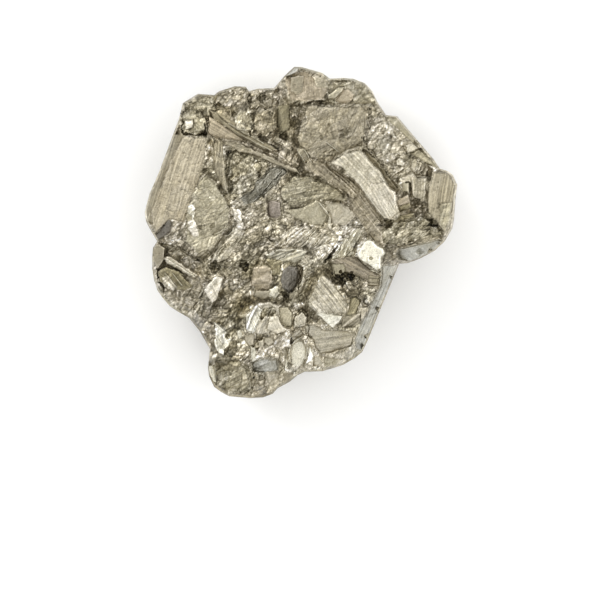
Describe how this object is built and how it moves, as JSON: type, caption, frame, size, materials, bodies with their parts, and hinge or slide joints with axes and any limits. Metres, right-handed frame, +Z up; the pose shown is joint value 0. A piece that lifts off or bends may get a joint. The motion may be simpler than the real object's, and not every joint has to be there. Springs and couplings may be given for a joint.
{
  "type": "pyrite specimen",
  "caption": "Natural lump of intergrown metallic crystals with ridged block faces, smooth plates, ledges and pits, lying on a flat spot on its back.",
  "frame": {"origin": "middle of the bounding box, on the surface that the lump lies on", "axes": "+Z up out of the side that is shown, +Y towards its top end, +X towards its right side"},
  "size_m": [0.05, 0.053, 0.0298],
  "materials": {
    "pyrite": "metallic, from mirror-smooth crystal faces to fine grains"
  },
  "bodies": {
    "root": {"pyrite_specimen": "pyrite"}
  },
  "joints": []
}
